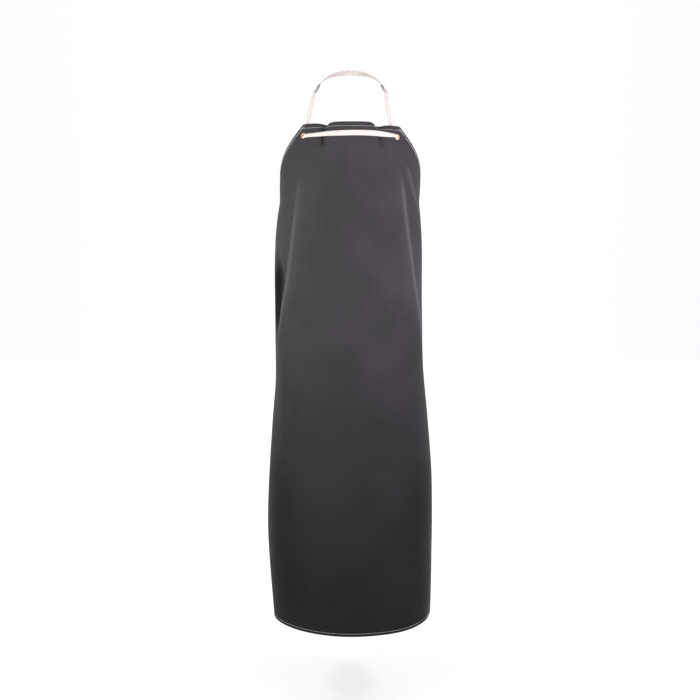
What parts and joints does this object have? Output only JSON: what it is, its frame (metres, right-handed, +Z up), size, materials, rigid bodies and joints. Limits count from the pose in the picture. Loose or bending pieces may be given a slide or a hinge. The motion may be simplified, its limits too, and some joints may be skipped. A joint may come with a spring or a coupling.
{
  "type": "bib apron",
  "caption": "Long dark coated-cotton bib apron shaped as worn, hung from a cotton neck tape that threads two brass eyelets in the bib and adjusts on two metal slides.",
  "frame": {"origin": "the middle of the neck tape's inner face at the nape, where the wearer's neck or a hook holds the apron", "axes": "+Z up, the wearer faces -Y, +X to the right as seen from the front"},
  "size_m": [0.4, 0.3077, 1.3361],
  "materials": {
    "coated_cotton": "charcoal rubber-coated cotton, fine weave, soft satin",
    "cotton_tape": "natural cotton twill tape",
    "thread": "pale lockstitch thread",
    "brass": "satin brass",
    "nickel": "dull nickel plate"
  },
  "bodies": {
    "neck_loop": {"nape_tape": "cotton_tape", "left_riser_tape": "cotton_tape", "right_riser_tape": "cotton_tape", "left_tail_tape": "cotton_tape", "right_tail_tape": "cotton_tape"},
    "apron": {"apron_panel": "coated_cotton", "top_hem": "coated_cotton", "bottom_hem": "coated_cotton", "left_armhole_hem": "coated_cotton", "right_armhole_hem": "coated_cotton", "left_side_hem": "coated_cotton", "right_side_hem": "coated_cotton", "top_stitching": "thread", "bottom_stitching": "thread", "left_armhole_stitching": "thread", "right_armhole_stitching": "thread", "left_side_stitching": "thread", "right_side_stitching": "thread", "left_neck_eyelet": "brass", "right_neck_eyelet": "brass", "left_neck_washer": "brass", "right_neck_washer": "brass", "left_waist_eyelet": "brass", "right_waist_eyelet": "brass", "left_waist_washer": "brass", "right_waist_washer": "brass", "front_span_tape": "cotton_tape"},
    "left_slide": {"left_slide_frame": "nickel", "left_slide_bar": "nickel"},
    "right_slide": {"right_slide_frame": "nickel", "right_slide_bar": "nickel"}
  },
  "joints": [
    {"name": "bib_swing", "type": "hinge", "parent": "neck_loop", "child": "apron", "pos_m": [0, -0.12742, -0.17557], "axis": [1, 0, 0], "range_deg": [-20, 15]},
    {"name": "left_slide_travel", "type": "slide", "parent": "neck_loop", "child": "left_slide", "axis": [0.2018, 0.8071, 0.5549], "range_m": [-0.008, 0.022]},
    {"name": "right_slide_travel", "type": "slide", "parent": "neck_loop", "child": "right_slide", "axis": [-0.2018, 0.8071, 0.5549], "range_m": [-0.008, 0.022]}
  ]
}
